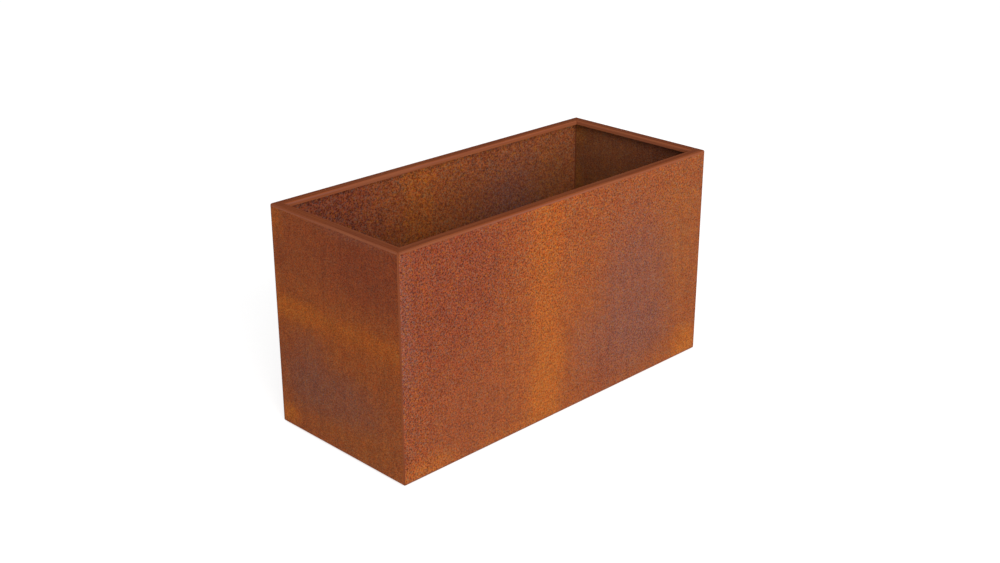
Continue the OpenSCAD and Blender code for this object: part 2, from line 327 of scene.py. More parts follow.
def folded_steel(shader, long_wall, inward, along, seed):
    """Colour of the folded rim and lip: redder and darker on top, where the darker tones are painted shade
    picked by which way the face turns, with a dark streak near the bend, and on the bend itself a mauve
    streak that comes and goes."""
    axis = 0 if long_wall else 1
    sides = streaks(shader, axis, FOLD_STREAKS, seed)
    top = streaks(shader, axis, TOP_STREAKS_SHADED, seed + 9)
    streak = shader.math("ABSOLUTE", shader.math("SUBTRACT", inward, 2 * FOLD))
    top = shader.mix(shader.smooth(streak, 5 * MM, 1 * MM, 0.0, 0.35), top, TOP_STREAKS_SHADED[0])

    height = shader.split(shader.place)[2]
    slow = shader.noise(shader.place, 5.0, detail=1.0, seed=seed + 2)
    streak = shader.math("ABSOLUTE", shader.math("SUBTRACT", height, TOP_Z - FOLD + 0.5 * MM))
    mauve = shader.math("MULTIPLY", shader.smooth(streak, 3 * MM, 1 * MM), shader.smooth(slow, 0.4, 0.6))
    if long_wall:
        mauve = shader.math("MULTIPLY", mauve, shader.smooth(along, 0.3, 0.9, 0.85, 0.35))
        strength = shader.smooth(along, 0.0, 0.6, 0.90, 1.04)
    else:
        mauve = shader.math("MULTIPLY", mauve, 0.45)
        # Painted light: the end walls' folded faces are painted 12% lighter.
        strength = 1.12
    sides = shader.mix(mauve, sides, MAUVE)
    # Painted light: the lip, which faces into the box, is painted up to 22% lighter.
    lip = shader.smooth(inward, RIM_W - FOLD, RIM_W - 1 * MM)
    strength = shader.math("MULTIPLY_ADD", lip, 0.22, strength)
    sides = shader.mix(1.0, sides, shader.join(strength, strength, strength), "MULTIPLY")

    # Painted light and shade: how far the face turns up picks the darker top tones over the lighter side
    # tones; on the end walls the lighter side tones reach nearer the top.
    up = shader.split(shader.node("ShaderNodeNewGeometry").outputs["Normal"])[2]
    edge = (0.6, 0.95) if long_wall else (0.86, 0.99)
    colour = shader.mix(shader.smooth(up, *edge), sides, top)
    drift = shader.ramp(slow, (0.38, (0.98, 1.02, 1.12, 1)), (0.5, WHITE), (0.62, (1.02, 0.99, 0.92, 1)))
    return shader.mix(1.0, colour, drift, "MULTIPLY")


def broad_rust(shader, place, seed):
    """Colour of the flat of a wall without its grain: patches, drips and mottling."""
    along = shader.split(place)[0]
    colour = shader.mix(shader.smooth(along, 0.1, 0.9), RUST, RUST_FAR)
    for patch, centre, reach, strength in PATCHES:
        scale = (1 / reach[0], 1 / reach[1], 0)
        offset = (-centre[0] / reach[0], -centre[1] / reach[1], 0)
        distance = shader.vector("LENGTH", shader.vector("MULTIPLY_ADD", place, scale, offset))
        colour = shader.mix(shader.smooth(distance, 1.1, 0.25, 0.0, strength), colour, patch)

    # Drips, and mottling a few centimetres across, in lightness and in hue
    drip = shader.noise(shader.vector("MULTIPLY", shader.place, (60, 60, 4)), 1.0, 2.0, seed=seed)
    mottle = shader.noise(shader.place, MOTTLE_PER_M, detail=4.0, roughness=0.6, seed=seed + 5)
    shade = shader.math("MULTIPLY_ADD", drip, 0.4, shader.math("MULTIPLY", mottle, 0.6))
    shade = shader.ramp(shade, (0.36, (0.88, 0.87, 0.91, 1)), (0.5, WHITE), (0.64, (1.09, 1.095, 1.00, 1)))
    colour = shader.mix(1.0, colour, shade, "MULTIPLY")
    drift = shader.noise(shader.place, DRIFT_PER_M, detail=4.0, roughness=0.65, seed=seed + 29)
    drift = shader.ramp(drift, (0.36, (1.02, 0.965, 0.94, 1)), (0.5, WHITE), (0.64, (0.98, 1.035, 1.07, 1)))
    return shader.mix(1.0, colour, drift, "MULTIPLY")


def rust_grain(shader, long_wall, place, seed):
    """What the grain multiplies a wall's colour by, and the coarse grain and the pits that its bump
    uses: clumps and single crystals of different rusts, over finer pits. On the end walls the grain is
    finer, most of all upwards."""
    squeeze = (1, 1, 1) if long_wall else (1, 1.2, 1.5)
    grain_place = shader.vector("MULTIPLY", shader.place, squeeze)
    ragged = shader.noise(grain_place, RAGGED_PER_M, detail=3.0, output="Color")
    grain_place = shader.vector("MULTIPLY_ADD", ragged, [1.3 * MM] * 3, grain_place)
    light, hue, _ = shader.split(shader.cells(grain_place, CRYSTAL_PER_M, "Color"))
    coarse = shader.noise(grain_place, GRAIN_PER_M, detail=4.0, roughness=0.68, seed=seed)
    light = shader.math("MULTIPLY_ADD", light, 0.14, shader.math("MULTIPLY", coarse, 0.86))
    grain = shader.ramp(
        light,
        (0.37, GRAIN_DARK), (0.455, GRAIN_DULL), (0.5, WHITE), (0.555, GRAIN_LIGHT), (0.63, GRAIN_BRIGHT),
    )
    tint = shader.noise(grain_place, TINT_PER_M, detail=4.0, roughness=0.68, seed=seed + 11)
    tint = shader.math("MULTIPLY_ADD", hue, 0.2, shader.math("MULTIPLY", tint, 0.8))
    tinted = shader.ramp(tint, (0.37, TINT_GOLD), (0.46, TINT_MAROON), (0.52, WHITE), (0.62, TINT_PURPLE))
    grain = shader.mix(1.0, grain, tinted, "MULTIPLY")
    strength = END_GRAIN
    if long_wall:
        along, down, _ = shader.split(place)
        strength = shader.smooth(shader.math("MULTIPLY_ADD", along, 0.5, down), 0.35, 0.95, 1.0, 0.72)
        strength = shader.math("MAXIMUM", strength, shader.smooth(along, 0.02, 0.17, 1.0, 0.6))
    grain = shader.mix(strength, WHITE, grain)
    pits = shader.noise(shader.place, PIT_PER_M, detail=4.0, roughness=0.75, seed=seed + 17)
    worn = shader.ramp(pits, (0.34, grey(0.55)), (0.44, grey(0.96)), (0.56, WHITE), (0.66, grey(1.35)))
    return shader.mix(1.0, grain, worn, "MULTIPLY"), coarse, pits


def wall_colour(shader, long_wall, sheet, seed, tone):
    """Colour of the flat of a wall, and the coarse grain and the pits that its bump uses."""
    warp = shader.noise(shader.vector("ADD", sheet, (seed, 0, 0)), 5.0, detail=3.0, output="Color")
    shift = shader.vector("MULTIPLY_ADD", warp, (0.05, 0.09, 0), (-0.025, -0.045, 0))
    place = shader.vector("ADD", sheet, shift)
    colour = broad_rust(shader, place, seed)
    grain, coarse, pits = rust_grain(shader, long_wall, place, seed)
    grain = shader.mix(1.0, grain, (*tone, 1), "MULTIPLY")
    return shader.mix(1.0, colour, grain, "MULTIPLY"), coarse, pits


def weathered_sheet(name, long_wall, seed, tone, moved_face):
    """A folded wall: grained rust on the flat, smooth steel on the folds. The patches lie elsewhere on
    the "inner" or the "outer" face, whichever moved_face says."""
    shader = Shader(name)
    sheet = sheet_coordinates(shader, long_wall)
    inward = depth_inside(shader, long_wall)
    inner_face = shader.math("GREATER_THAN", inward, SHEET / 2)
    scale, shift = PATCH_MOVES[long_wall]
    moved = shader.vector("MULTIPLY_ADD", sheet, scale, shift)
    outer, inner = (moved, sheet) if moved_face == "outer" else (sheet, moved)
    wall, coarse, pits = wall_colour(shader, long_wall, shader.mix(inner_face, outer, inner), seed, tone)
    # Painted light: the inner faces are tinted lighter and less red, offsetting the red bounce light inside
    # the box.
    inner_tone = INNER_LONG_TONE if long_wall else INNER_END_TONE
    wall = shader.mix(1.0, wall, shader.mix(inner_face, WHITE, (*inner_tone, 1)), "MULTIPLY")
    fold = fold_mask(shader, inward)
    along = shader.split(sheet)[0 if long_wall else 1]
    colour = shader.mix(fold, wall, folded_steel(shader, long_wall, inward, along, seed))

    rise = shader.math("MULTIPLY_ADD", pits, 0.35, shader.math("MULTIPLY", coarse, 0.65))
    flat = shader.math("SUBTRACT", 1.0, shader.math("MULTIPLY", fold, 0.93))
    shader.bump(shader.math("MULTIPLY", rise, flat), 0.9 * MM)
    roughness = shader.math("MULTIPLY_ADD", coarse, 0.16, shader.math("MULTIPLY_ADD", fold, -0.18, 0.74))
    return shader.finish(colour, roughness, specular=0.02)


def ground_steel(shader, along, tones):
    """Ground smooth, then rusted: streaked along its length, with faint grinding marks. Returns its
    colour and the marks."""
    colour = streaks(shader, along, tones, seed=7.0)
    marks = shader.noise(shader.place, 1100.0, detail=1.0)
    colour = shader.mix(1.0, colour, shader.ramp(marks, (0.35, grey(0.92)), (0.65, grey(1.06))), "MULTIPLY")
    return colour, marks


def dressed_mitre(name):
    shader = Shader(name)
    # The mitre on the rim's top takes the top's darker tones, which are painted shade.
    colour, marks = ground_steel(shader, 2, TOP_STREAKS_SHADED)
    shader.bump(marks, 0.06 * MM)
    return shader.finish(colour, 0.62, specular=0.02)


def dressed_corner(name):
    """A ground corner weld, with the long wall's grain reaching on to it. It is painted lighter where it
    turns towards the end wall and darker where it turns towards the long wall: painted light and shade
    across the rounded corner.
    """
    shader = Shader(name)
    smooth_steel, marks = ground_steel(shader, 2, WELD_STREAKS)
    turn = shader.math("SUBTRACT", depth_inside(shader, False), depth_inside(shader, True))
    # Painted light and shade: lighter on the end wall's side of the corner, darker on the long wall's side.
    shade = shader.smooth(turn, -3 * MM, 0.5 * MM, 1.14, 0.90)
    smooth_steel = shader.mix(1.0, smooth_steel, shader.join(shade, shade, shade), "MULTIPLY")
    wall, coarse, pits = wall_colour(shader, True, sheet_coordinates(shader, True), 0.0, LONG_TONE)
    low_enough = shader.smooth(shader.split(shader.place)[2], TOP_Z - FOLD - 2 * MM, TOP_Z - FOLD - 4 * MM)
    rough = shader.math("MULTIPLY", shader.smooth(turn, 1.8 * MM, 3.2 * MM), low_enough)
    shader.bump(shader.mix(rough, marks, coarse), 0.3 * MM, strength=0.4)
    return shader.finish(shader.mix(rough, smooth_steel, wall), 0.66, specular=0.02)


SCALE_GREY = steel(92, 76, 68)
INNER_RUST = steel(146, 80, 48)
INNER_DARK = steel(112, 60, 40)
FLASH_RUST = steel(176, 98, 50)


def inner_steel(name, seed, drain_rings=False):
    """Hot-rolled steel that sees little sun: rust over the remains of grey mill scale."""
    shader = Shader(name)
    patch = shader.noise(shader.place, 13.0, detail=7.0, roughness=0.72, seed=seed)
    grain = shader.noise(shader.place, 210.0, detail=3.0, roughness=0.6, seed=seed + 2)
    fleck = shader.noise(shader.place, 640.0, detail=4.0, roughness=0.7, seed=seed + 4)
    stops = (0.36, INNER_DARK), (0.48, INNER_RUST), (0.60, FLASH_RUST), (0.68, INNER_RUST)
    colour = shader.ramp(patch, *stops)
    scale = shader.noise(shader.place, 31.0, detail=6.0, roughness=0.75, seed=seed + 6)
    colour = shader.mix(shader.smooth(scale, 0.54, 0.66, 0.0, 0.6), colour, SCALE_GREY)
    speck = shader.ramp(grain, (0.3, grey(0.6)), (0.5, WHITE), (0.72, (1.4, 1.42, 1.25, 1)))
    colour = shader.mix(1.0, colour, speck, "MULTIPLY")
    speck = shader.ramp(fleck, (0.3, grey(0.7)), (0.5, WHITE), (0.7, grey(1.25)))
    colour = shader.mix(1.0, colour, speck, "MULTIPLY")
    if drain_rings:
        colour = shader.mix(drain_stain(shader), colour, INNER_DARK)
    rise = shader.math("MULTIPLY_ADD", fleck, 0.4, grain)
    shader.bump(rise, 0.6 * MM)
    roughness = shader.math("MULTIPLY_ADD", grain, 0.2, 0.66)
    return shader.finish(colour, roughness, specular=0.1)


def drain_stain(shader):
    """Dark tide marks round each drain hole. The holes stand in two rows, evenly spaced."""
    x, y, _ = shader.split(shader.place)
    pitch = LENGTH / 4
    across = shader.math("SUBTRACT", shader.math("ABSOLUTE", y), WIDTH / 4)
    near = shader.math("PINGPONG", shader.math("ADD", x, 10 * pitch), pitch / 2)
    along = shader.math("SUBTRACT", near, pitch / 2)
    distance = shader.vector("LENGTH", shader.join(along, across))
    wobble = shader.noise(shader.place, 26.0, detail=3.0)
    distance = shader.math("MULTIPLY_ADD", wobble, 0.05, distance)
    inner = shader.smooth(distance, 0.02, 0.06, 0.35, 0.7)
    return shader.math("MULTIPLY", shader.smooth(distance, 0.105, 0.07), inner)


def raw_weld(name):
    """Weld metal as laid: dark, blued beside the bead, rusting in the ripples."""
    shader = Shader(name)
    tone = shader.noise(shader.place, 90.0, detail=3.0, roughness=0.6)
    blue, brown, rust, scale = srgb(58, 48, 48), srgb(96, 60, 44), srgb(134, 76, 46), srgb(92, 72, 66)
    colour = shader.ramp(tone, (0.34, blue), (0.48, brown), (0.58, rust), (0.7, scale))
    fine = shader.noise(shader.place, 900.0, detail=2.0)
    shader.bump(fine, 0.15 * MM)
    return shader.finish(colour, shader.math("MULTIPLY_ADD", fine, 0.3, 0.42), specular=0.45, metallic=0.35)


def zinc(name, rusted=0.0):
    """Zinc-plated steel, dulled, with white bloom and a little rust."""
    shader = Shader(name)
    bloom = shader.noise(shader.place, 180.0, detail=4.0, roughness=0.65)
    spangle = shader.cells(shader.place, 420.0)
    dull, bright, white = srgb(128, 130, 130), srgb(168, 168, 164), srgb(196, 194, 186)
    colour = shader.ramp(bloom, (0.36, dull), (0.55, bright), (0.7, white))
    colour = shader.mix(shader.smooth(spangle, 0.2, 0.8, 0.0, 0.2), colour, srgb(112, 116, 122))
    stain = shader.noise(shader.place, 75.0, detail=5.0, roughness=0.7, seed=4.0)
    stain = shader.smooth(stain, 0.60 - rusted, 0.70 - rusted, 0.0, 0.85)
    colour = shader.mix(stain, colour, srgb(128, 70, 38))
    shader.bump(bloom, 0.08 * MM)
    return shader.finish(colour, shader.math("MULTIPLY_ADD", bloom, 0.5, 0.16), specular=0.5, metallic=0.8)


def moulded(name, tone, worn, texture=700.0, roughness=0.5):
    """Moulded plastic or rubber: fine texture, dusty patches and scuffs."""
    shader = Shader(name)
    dust = shader.noise(shader.place, 70.0, detail=4.0, roughness=0.65)
    grain = shader.noise(shader.place, texture, detail=2.0, roughness=0.6)
    colour = shader.mix(shader.smooth(dust, 0.42, 0.75, 0.0, 0.6), tone, worn)
    colour = shader.mix(1.0, colour, shader.ramp(grain, (0.3, grey(0.8)), (0.7, grey(1.2))), "MULTIPLY")
    shader.bump(grain, 0.12 * MM)
    return shader.finish(colour, shader.math("MULTIPLY_ADD", dust, 0.3, roughness - 0.1), specular=0.45)


MATERIALS = {
    "front_panel": weathered_sheet("weathered_front", True, 0.0, LONG_TONE, "inner"),
    "back_panel": weathered_sheet("weathered_back", True, 21.0, LONG_TONE, "outer"),
    "left_end_panel": weathered_sheet("weathered_left", False, 43.0, END_TONE, "inner"),
    "right_end_panel": weathered_sheet("weathered_right", False, 64.0, END_TONE, "outer"),
    "corner": dressed_corner("dressed_corner"),
    "rim": dressed_mitre("dressed_mitre"),
    "frame": inner_steel("inner_frame_steel", 3.0),
    "floor": inner_steel("floor_steel", 12.0, drain_rings=True),
    "bracket": inner_steel("bracket_steel", 31.0),
    "weld": raw_weld("raw_weld_metal"),
    "zinc": zinc("zinc_fasteners", 0.03),
    "stem": zinc("zinc_stems"),
    "pad": zinc("zinc_pads", 0.05),
    "plastic": moulded("black_plastic", srgb(38, 38, 40), srgb(88, 74, 62)),
    "rubber": moulded("foot_rubber", srgb(30, 30, 30), srgb(72, 66, 60), texture=1300.0, roughness=0.85),
}


def dress(material, *nodes):
    """Gives carried-over CAD nodes their finish."""
    for name in nodes:
        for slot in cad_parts[name].material_slots:
            slot.material = MATERIALS[material]


for panel in ("front_panel", "back_panel", "left_end_panel", "right_end_panel"):
    dress(panel, panel)
dress("corner", *("corner_weld_" + c for c in CORNERS))
dress("rim", *("rim_weld_" + c for c in CORNERS))
dress("floor", "floor_plate")
dress("frame", "front_ledge", "back_ledge", "left_ledge", "right_ledge")
dress("frame", "cross_member_left", "cross_member_middle", "cross_member_right")
dress("frame", "tie_bar_left", "tie_bar_right", "tie_clips")
dress("bracket", *("foot_bracket_" + c for c in CORNERS))

# ---- Mesh helpers ----

SHARP_ANGLE = math.radians(35)
SIXTH_TURN = math.radians(60)
TURNED_SEGMENTS = 72
THREAD_SEGMENTS = 28


def surface(points, faces):
    """A mesh part: a list of points and a list of faces, joined later by piece()."""
    return [Vector(p) for p in points], [list(f) for f in faces]


def placed(part, matrix):
    points, faces = part
    return [matrix @ p for p in points], faces


def piece(name, parts, material, body, replaces=()):
    """One object made of several mesh parts, riding on a CAD body."""
    points, faces = [], []
    for part_points, part_faces in parts:
        start = len(points)
        points += part_points
        faces += [[start + i for i in face] for face in part_faces]
    mesh = bpy.data.meshes.new(name)
    mesh.from_pydata(points, [], faces)
    mesh.validate()
    mesh.update()
    mesh.shade_smooth()
    mesh.set_sharp_from_angle(angle=SHARP_ANGLE)
    mesh.materials.append(MATERIALS[material])
    obj = bpy.data.objects.new(name, mesh)
    bpy.context.scene.collection.objects.link(obj)
    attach(obj, body)
    if replaces:
        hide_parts(*replaces)


def ring_points(radius, height, segments=THREAD_SEGMENTS):
    """One ring of points round Z. radius is a number, or a function of the angle."""
    for j in range(segments):
        angle = math.tau * j / segments
        reach = radius(angle) if callable(radius) else radius
        yield (reach * math.cos(angle), reach * math.sin(angle), height)


def hexagon_turn(angle):
    """The angle from the middle of the hexagon's nearest flat."""
    return (angle + SIXTH_TURN / 2) % SIXTH_TURN - SIXTH_TURN / 2


def grid_faces(rows, columns, closed=False):
    """Faces between rows of points, each row a closed ring. closed joins the last row to the first."""
    faces = []
    for i in range(rows if closed else rows - 1):
        below, above = i * columns, (i + 1) % rows * columns
        for j in range(columns):
            k = (j + 1) % columns
            faces.append([below + j, below + k, above + k, above + j])
    return faces


def turned(outline, segments=TURNED_SEGMENTS, radius=None):
    """A solid turned about Z from (radius, height) points, on the axis at both ends or nowhere.
    radius(point, angle) may change each point's radius."""
    closed = outline[0][0] > 0
    ring = outline if closed else outline[1:-1]
    points = []
    for r, z in ring:
        points += ring_points((lambda angle: radius((r, z), angle)) if radius else r, z, segments)
    faces = grid_faces(len(ring), segments, closed)
    if not closed:
        points += [(0, 0, outline[0][1]), (0, 0, outline[-1][1])]
        start, end = len(points) - 2, len(points) - 1
        last = (len(ring) - 1) * segments
        for j in range(segments):
            k = (j + 1) % segments
            faces.append([start, k, j])
            faces.append([end, last + j, last + k])
    return surface(points, faces)


def hexagonal(across_flats, height, bore=0.0, chamfer_high=True):
    """A hexagon nut or head standing on Z = 0, with turned chamfers. A bore makes it a nut."""
    half = across_flats / 2
    edge = 0.93 * half
    slope = 1 / math.tan(math.radians(30))
    corner_h = (half / math.cos(math.radians(30)) - edge) / slope
    steps = 4
    levels = [corner_h * i / steps for i in range(steps + 1)]
    heights = levels + [height - level for level in reversed(levels)]

    def reach(point, angle):
        r, z = point
        if r < edge:
            return r
        flat = half / math.cos(hexagon_turn(angle))
        low = edge + z * slope
        high = edge + (height - z) * slope if chamfer_high else flat
        return min(flat, low, high)

    outline = [(half, z) for z in heights]
    if bore:
        lead = 0.06 * across_flats
        outline = [(bore + lead / 2, 0)] + outline
        outline += [(bore + lead / 2, height), (bore, height - lead), (bore, lead)]
    else:
        outline = [(0, 0)] + outline + [(edge * 0.9, height), (0, height)]
    return turned(outline, radius=reach)


def threaded(radius, depth, pitch, low, high):
    """Rings of points of a right-hand thread round Z, tapered at both ends."""
    rows_per_turn = 7
    rows = int((high - low) / pitch * rows_per_turn)
    end_l = 1.1 * depth
    points = []
    for i in range(rows + 1):
        z = low + (high - low) * i / rows
        taper = max(0.0, 1 - (high - z) / end_l) + max(0.0, 1 - (z - low) / end_l)

        def reach(angle):
            phase = (z / pitch - angle / math.tau) % 1
            groove = min(1.0, max(0.0, abs(2 * phase - 1) * 1.35 - 0.12))
            return radius - depth * max(groove, min(1.0, taper))

        points += ring_points(reach, z)
    return points


def bead(start, end, rise, out, size, pitch=3.2 * MM):
    """A rippled weld bead laid in the corner between two faces, whose normals are rise and out."""
    start, end = Vector(start), Vector(end)
    rise, out = Vector(rise), Vector(out)
    run = (end - start).normalized()
    length = (end - start).length
    rings = max(8, int(length / (pitch / 5)))  # five to a ripple
    arc = 9
    points = []
    for i in range(rings + 1):
        t = i / rings
        fade = min(1.0, min(t, 1 - t) * length / (1.3 * size))
        body = math.sqrt(max(0.0, 1 - (1 - fade) ** 2))
        for j in range(arc):
            angle = math.pi / 2 * j / (arc - 1)
            curl = math.sin(2 * angle)
            travel = t * length
            ripple = (travel / pitch - 0.45 * curl) % 1
            wave = 0.10 * (1 - (2 * ripple - 1) ** 2)
            wander = 0.05 * math.sin(travel / (7 * MM) + 2.0 * start.x + 9.0 * start.y)
            reach = size * max(0.02, body) * (0.84 + 0.05 * curl + wave * curl + wander * curl)
            points.append(start + run * travel + (rise * math.cos(angle) + out * math.sin(angle)) * reach)
        points.append(start + run * t * length)
    ring = arc + 1
    faces = grid_faces(rings + 1, ring)
    faces.append(list(range(ring)))
    faces.append([rings * ring + j for j in reversed(range(ring))])
    if run.dot(rise.cross(out)) > 0:
        faces = [face[::-1] for face in faces]
    return surface(points, faces)


# ---- Floor welds, ledge welds and bracket welds ----

UP, DOWN = Vector((0, 0, 1)), Vector((0, 0, -1))
FLOOR_EDGE_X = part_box("floor_plate")[1].x
FLOOR_EDGE_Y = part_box("floor_plate")[1].y
LEDGE_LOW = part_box("front_ledge")[0].z
WALL_X = HIGH.x - SHEET
WALL_Y = HIGH.y - SHEET
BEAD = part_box("floor_welds")[1].y - FLOOR_EDGE_Y
BEAD_L = 40 * MM
STITCH = 3 * MM
STEPS_ALONG = 5.6
STEPS_ACROSS = 4


def stitches(edge_x, edge_y, z, rise, facing, size, shift=0.0):
    """Short welds along a rectangle's sides: outside it where facing is 1, inside it where it is -1."""
    half = BEAD_L / 2
    for side in SIDES:
        for i in range(-2, 3):
            x, y = i * LENGTH / STEPS_ALONG + shift, side * edge_y
            yield bead((x - half, y, z), (x + half, y, z), rise, (0, facing * side, 0), size)
        for i in range(-1, 2):
            x, y = side * edge_x, i * WIDTH / STEPS_ACROSS
            yield bead((x, y - half, z), (x, y + half, z), rise, (facing * side, 0, 0), size)


# Round the floor's edge on its ledges, and under the ledges' vertical legs against the walls
floor_stitches = stitches(FLOOR_EDGE_X, FLOOR_EDGE_Y, FLOOR_LOW, UP, 1, BEAD)
ledge_stitches = stitches(WALL_X, WALL_Y, LEDGE_LOW, DOWN, -1, STITCH, shift=60 * MM)
piece("floor_stitch_welds", floor_stitches, "weld", "root", ["floor_welds"])
piece("ledge_stitch_welds", ledge_stitches, "weld", "root")


def bracket_beads():
    """A fillet along both walls, above and below each foot bracket."""
    for corner, (sx, sy) in CORNERS.items():
        low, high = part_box("foot_bracket_" + corner)
        start, end = 14 * MM, high.x - low.x - 2 * MM
        for z, normal in ((high.z, UP), (low.z, DOWN)):
            xs = [sx * (WALL_X - start), sx * (WALL_X - end)]
            ys = [sy * (WALL_Y - start), sy * (WALL_Y - end)]
            yield bead((xs[0], sy * WALL_Y, z), (xs[1], sy * WALL_Y, z), normal, (0, -sy, 0), STITCH)
            yield bead((sx * WALL_X, ys[0], z), (sx * WALL_X, ys[1], z), normal, (-sx, 0, 0), STITCH)


piece("bracket_welds", bracket_beads(), "weld", "root")

# ---- Ties ----

M10_R = 5 * MM
M10_PLAY = 0.06 * MM
M10_DEPTH = 0.85 * MM
M10_PITCH = 1.5 * MM
M10_AF = 17 * MM
M10_HEAD = 6.4 * MM
M10_NUT = 8 * MM
M10_THREAD = 16 * MM
M10_END = 13 * MM
ALONG_X = Matrix.Rotation(math.radians(90), 4, "Y")
tie_low, tie_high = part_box("tie_bar_left")
clip_low, clip_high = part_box("tie_clips")
TIE_Z = (tie_low.z + tie_high.z) / 2
TIE_T = tie_high.x - tie_low.x
CLIP_T = 4 * MM
WASHER_T = 2 * MM
WASHER_R = 10 * MM
WASHER_BORE = 5.4 * MM
TIE_FACE = {side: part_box("tie_bar_left" if side < 0 else "tie_bar_right")[1].x for side in SIDES}
BOLT_Y = (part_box("tie_bolts")[1].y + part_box("tie_nuts")[1].y) / 2 - M10_AF / math.sqrt(3)
CLIP_W = clip_high.x - TIE_FACE[1]


def each_bolt():
    """Where the tie bolts stand: the x of the tie bar's face and the y of the bolt."""
    for x in TIE_FACE.values():
        for side in SIDES:
            yield x, side * BOLT_Y


def washer():
    edge = 0.3 * MM
    outline = [(WASHER_BORE, 0), (WASHER_R - edge, 0), (WASHER_R, edge), (WASHER_R, WASHER_T - edge)]
    outline += [(WASHER_R - edge, WASHER_T), (WASHER_BORE, WASHER_T)]
    return turned(outline, segments=48)


def bolt(length):
    """A hexagon bolt along +Z, its head below Z = 0."""
    head = placed(hexagonal(M10_AF, M10_HEAD, chamfer_high=False), Matrix.Translation((0, 0, -M10_HEAD)))
    radius = M10_R - M10_PLAY
    thread_low = length - M10_THREAD
    points = []
    for z in (-0.5 * MM, thread_low - 0.01 * MM):
        points += ring_points(radius, z)
    points += threaded(radius, M10_DEPTH, M10_PITCH, thread_low, length)
    faces = grid_faces(len(points) // THREAD_SEGMENTS, THREAD_SEGMENTS)
    faces.append(list(range(THREAD_SEGMENTS))[::-1])
    faces.append(list(range(len(points) - THREAD_SEGMENTS, len(points))))
    return [head, surface(points, faces)]


def bolt_parts():
    length = TIE_T + CLIP_T + 2 * WASHER_T + M10_END
    for x, y in each_bolt():
        spin = Matrix.Rotation(x * 9 + y * 5, 4, "Z")
        matrix = Matrix.Translation((x - TIE_T - WASHER_T, y, TIE_Z)) @ ALONG_X @ spin
        for part in bolt(length):
            yield placed(part, matrix)


def nut_parts():
    for x, y in each_bolt():
        spin = Matrix.Rotation(y * 7 - x * 4, 4, "Z")
        matrix = Matrix.Translation((x + CLIP_T + WASHER_T, y, TIE_Z)) @ ALONG_X @ spin
        yield placed(hexagonal(M10_AF, M10_NUT, bore=M10_R + 0.02 * MM), matrix)


def washer_parts():
    for x, y in each_bolt():
        for offset in (-TIE_T - WASHER_T, CLIP_T):
            matrix = Matrix.Translation((x + offset, y, TIE_Z)) @ ALONG_X
            yield placed(washer(), matrix)


def clip_beads():
    """Fillets that hold each clip's wall leg: above, below and at its free edge."""
    leg = 3 * MM
    for x in TIE_FACE.values():
        for side in SIDES:
            wall, out = side * WALL_Y, (0, -side, 0)
            near, far = x + 9 * MM, x + CLIP_W - 1 * MM
            yield bead((near, wall, clip_high.z), (far, wall, clip_high.z), UP, out, leg)
            yield bead((near, wall, clip_low.z), (far, wall, clip_low.z), DOWN, out, leg)
            edge = x + CLIP_W
            low, high = clip_low.z + 3 * MM, clip_high.z - 3 * MM
            yield bead((edge, wall, low), (edge, wall, high), (1, 0, 0), out, leg)


piece("tie_clip_welds", clip_beads(), "weld", "root")
piece("tie_bolt_set", bolt_parts(), "zinc", "root", ["tie_bolts"])
piece("tie_nut_set", nut_parts(), "zinc", "root", ["tie_nuts"])
piece("tie_washer_set", washer_parts(), "zinc", "root", ["tie_washers"])

# ---- Access plugs ----

plug_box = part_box("access_plugs")


def plug():
    """A domed cap with a rolled rim, a grip recess and a stepped shank, standing on the floor at Z = 0."""
    head_r = 19 * MM
    head_h = plug_box[1].z - FLOOR_TOP
    shank_r = 15.9 * MM
    depth = FLOOR_TOP - plug_box[0].z
    outline = [(0, -depth + 1.2 * MM), (shank_r - 2.2 * MM, -depth + 1.2 * MM)]
    outline += [(shank_r - 1.8 * MM, -depth)]
    outline += [(shank_r - 0.6 * MM, -depth), (shank_r, -depth + 0.7 * MM)]
    outline += [(shank_r, 0), (head_r - 0.3 * MM, 0)]
    for i in range(7):
        angle = math.pi / 2 * i / 6
        reach = head_r - 1.4 * MM + 1.4 * MM * math.cos(angle)
        outline.append((reach, 0.9 * MM + (head_h - 0.9 * MM) * math.sin(angle)))
    outline += [(15.4 * MM, head_h), (14.8 * MM, head_h - 0.7 * MM), (9 * MM, head_h - 0.45 * MM)]
    outline += [(8.4 * MM, head_h - 1.3 * MM), (3 * MM, head_h - 1.3 * MM), (2.5 * MM, head_h - 0.8 * MM)]
    outline += [(0, head_h - 0.7 * MM)]
    return turned(outline)


def plug_parts():
    for corner in CORNERS:
        centre = foot_centre(corner)
        yield placed(plug(), Matrix.Translation((centre.x, centre.y, FLOOR_TOP)))


piece("access_plug_set", plug_parts(), "plastic", "root", ["access_plugs"])

# ---- Levelling feet ----

M12_R = 5.93 * MM
M12_BORE = 6.0 * MM
M12_DEPTH = 1.05 * MM
M12_PITCH = 1.75 * MM
M12_AF = 19 * MM
BALL_R = 6 * MM
BALL_Z = 9 * MM
NECK_R = 4 * MM
SOCKET_AF = 6 * MM
SOCKET_DEPTH = 7.5 * MM
FOOT_R = 25 * MM
NUT_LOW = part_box("foot_nuts")[0].z
LOCK_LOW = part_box("lock_nuts")[0].z
LOCK_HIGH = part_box("lock_nuts")[1].z
PAD_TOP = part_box("foot_pad_front_left")[1].z
SOLE_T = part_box("foot_sole_front_left")[1].z
STEM_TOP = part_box("foot_stem_front_left")[1].z
THREAD_LOW = 18 * MM


